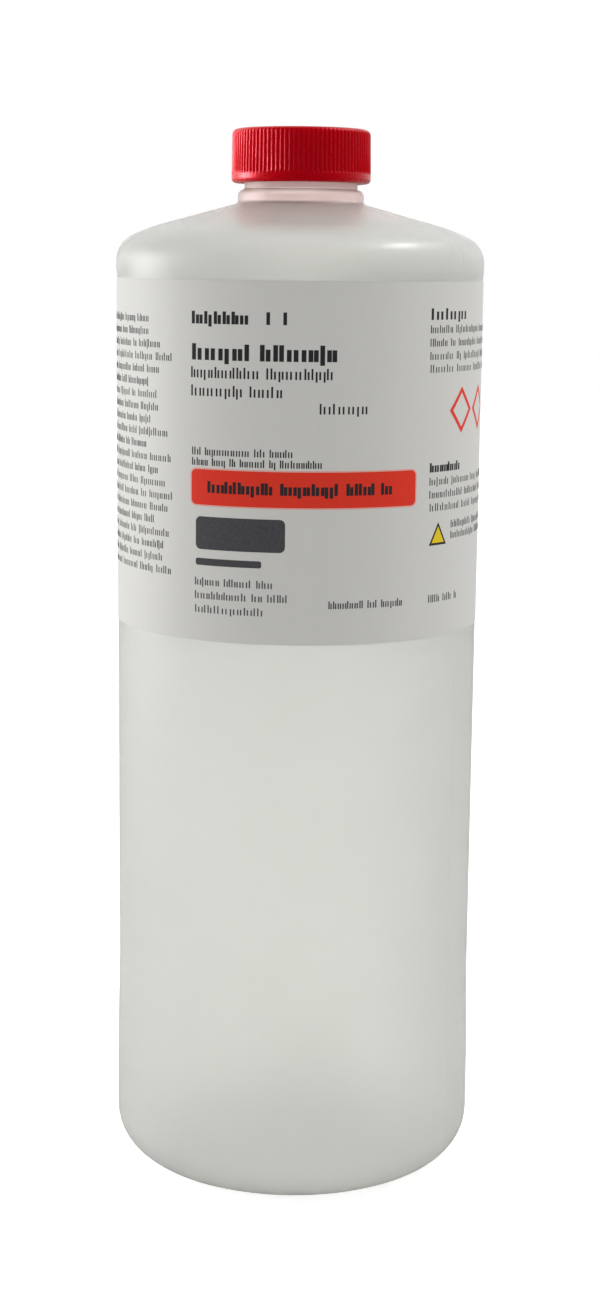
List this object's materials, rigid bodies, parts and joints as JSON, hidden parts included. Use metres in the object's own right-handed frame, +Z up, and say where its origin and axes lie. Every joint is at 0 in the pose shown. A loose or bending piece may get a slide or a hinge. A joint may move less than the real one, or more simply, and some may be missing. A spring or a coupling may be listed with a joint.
{
  "type": "reagent bottle",
  "caption": "Round translucent one litre reagent bottle with a sloping shoulder, a ribbed screw cap, a foam cap liner and a wrap-around label.",
  "frame": {"origin": "centre of the foot, on the plane that the bottle stands on", "axes": "+Z up along the bottle's axis; -Y is the front of the label, whose two ends meet at +Y"},
  "size_m": [0.0825, 0.0824, 0.2356],
  "materials": {
    "bottle_hdpe": "translucent natural polyethylene, satin",
    "cap_polypropylene": "moulded, semi-gloss",
    "liner_foam": "smooth closed-cell foam",
    "label_film": "white printed label, satin"
  },
  "bodies": {
    "bottle_body": {"bottle": "bottle_hdpe", "label": "label_film"},
    "liner_body": {"cap_liner": "liner_foam"},
    "cap_body": {"screw_cap": "cap_polypropylene"}
  },
  "joints": [
    {"name": "cap_lift", "type": "slide", "parent": "bottle_body", "child": "liner_body", "axis": [0, 0, 1], "range_m": [0, 0.0045]},
    {"name": "cap_turn", "type": "hinge", "parent": "liner_body", "child": "cap_body", "pos_m": [0, 0, 0.2298], "axis": [0, 0, 1], "range_deg": [0, 380]}
  ],
  "couplings": [
    {"joint": "cap_lift", "follows": "cap_turn", "m_per_rad": 0.00067376}
  ]
}
